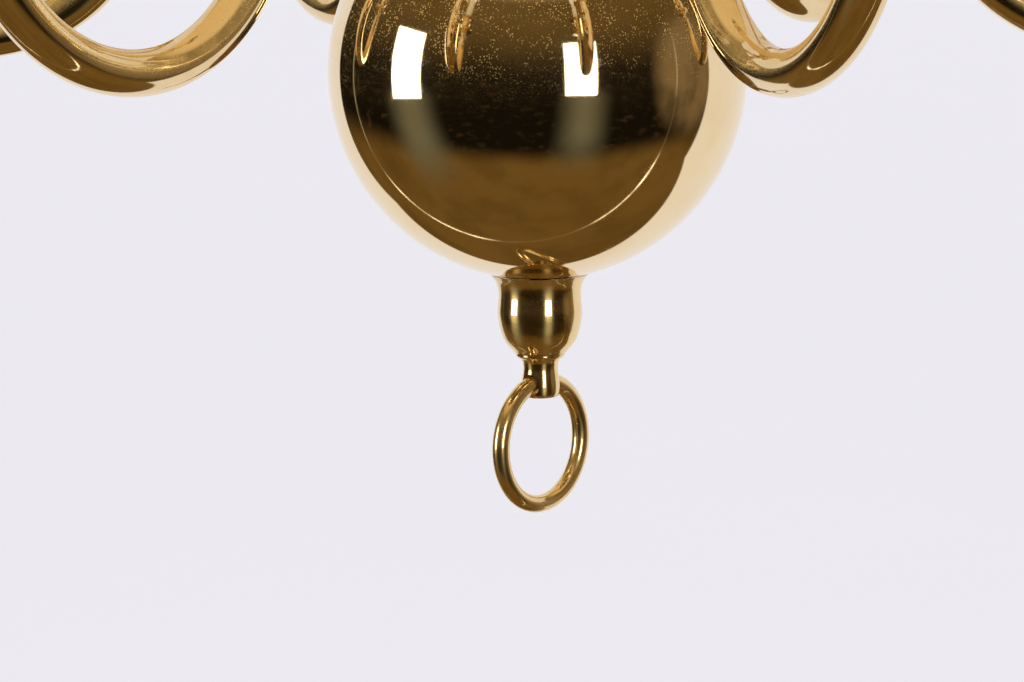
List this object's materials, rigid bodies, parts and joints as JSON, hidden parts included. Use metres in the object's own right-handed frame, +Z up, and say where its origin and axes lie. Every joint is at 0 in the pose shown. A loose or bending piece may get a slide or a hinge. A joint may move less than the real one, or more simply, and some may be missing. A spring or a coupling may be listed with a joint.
{
  "type": "multi arm chandelier",
  "caption": "Polished brass ball chandelier with swan-neck tube arms, electric candles, a turned stem, a short chain, a ceiling rose and a swinging pull ring under the ball.",
  "frame": {"origin": "middle of the ceiling bracket's top face, where it is screwed to the ceiling", "axes": "+Z up; the bracket's two screws lie along X; the front is -Y"},
  "size_m": [0.8688, 0.8099, 0.8591],
  "materials": {
    "brass": "mirror polished, lacquered",
    "steel": "zinc plated",
    "white_plastic": "moulded",
    "lead_sheath": "extruded",
    "candle_sleeve": "satin, wax coloured",
    "cap_metal": "rolled",
    "opal_glass": "satin opal"
  },
  "bodies": {
    "ceiling": {"ceiling_bracket": "steel", "canopy_nipple": "steel", "canopy_nut": "steel", "terminal_block": "white_plastic", "canopy": "brass", "canopy_loop": "brass"},
    "link_1": {"chain_link_1": "brass"},
    "link_2": {"chain_link_2": "brass"},
    "link_3": {"chain_link_3": "brass"},
    "chandelier": {"stem_loop": "brass", "stem_cap": "brass", "stem_knop": "brass", "stem_vase": "brass", "hub_cap": "brass", "hub": "brass", "ball_neck": "brass", "ball": "brass", "bottom_cup": "brass", "bead_disc": "brass", "ring_boss": "brass", "arm_1": "brass", "arm_2": "brass", "arm_3": "brass", "arm_4": "brass", "arm_5": "brass", "arm_6": "brass", "arm_root_collars": "brass", "arm_ferrules": "brass", "arm_end_collars": "brass", "drip_pan_1": "brass", "drip_pan_2": "brass", "drip_pan_3": "brass", "drip_pan_4": "brass", "drip_pan_5": "brass", "drip_pan_6": "brass", "candle_cup_1": "brass", "candle_cup_2": "brass", "candle_cup_3": "brass", "candle_cup_4": "brass", "candle_cup_5": "brass", "candle_cup_6": "brass", "tie_rod": "steel", "rod_nuts": "steel", "arm_nipples": "steel", "arm_nuts": "steel", "lamp_nipples": "steel", "lamp_nuts": "steel", "wire_connectors": "white_plastic", "lampholders": "white_plastic", "arm_wires": "lead_sheath", "candle_sleeves": "candle_sleeve", "bulb_caps": "cap_metal", "bulb_1": "opal_glass", "bulb_2": "opal_glass", "bulb_3": "opal_glass", "bulb_4": "opal_glass", "bulb_5": "opal_glass", "bulb_6": "opal_glass"},
    "ring": {"pull_ring": "brass"}
  },
  "joints": [
    {"name": "link_1_swing", "type": "hinge", "parent": "ceiling", "child": "link_1", "pos_m": [0, 0, -0.092], "axis": [1, 0, 0], "range_deg": [-12, 12]},
    {"name": "link_2_swing", "type": "hinge", "parent": "link_1", "child": "link_2", "pos_m": [0, 0, -0.1257], "axis": [0, 1, 0], "range_deg": [-12, 12]},
    {"name": "link_3_swing", "type": "hinge", "parent": "link_2", "child": "link_3", "pos_m": [0, 0, -0.1604], "axis": [1, 0, 0], "range_deg": [-12, 12]},
    {"name": "chandelier_swing", "type": "hinge", "parent": "link_3", "child": "chandelier", "pos_m": [0, 0, -0.1951], "axis": [0, 1, 0], "range_deg": [-12, 12]},
    {"name": "ring_swing", "type": "hinge", "parent": "chandelier", "child": "ring", "pos_m": [0, 0, -0.7895], "axis": [0.6428, 0.766, 0], "range_deg": [-140, 140]}
  ]
}
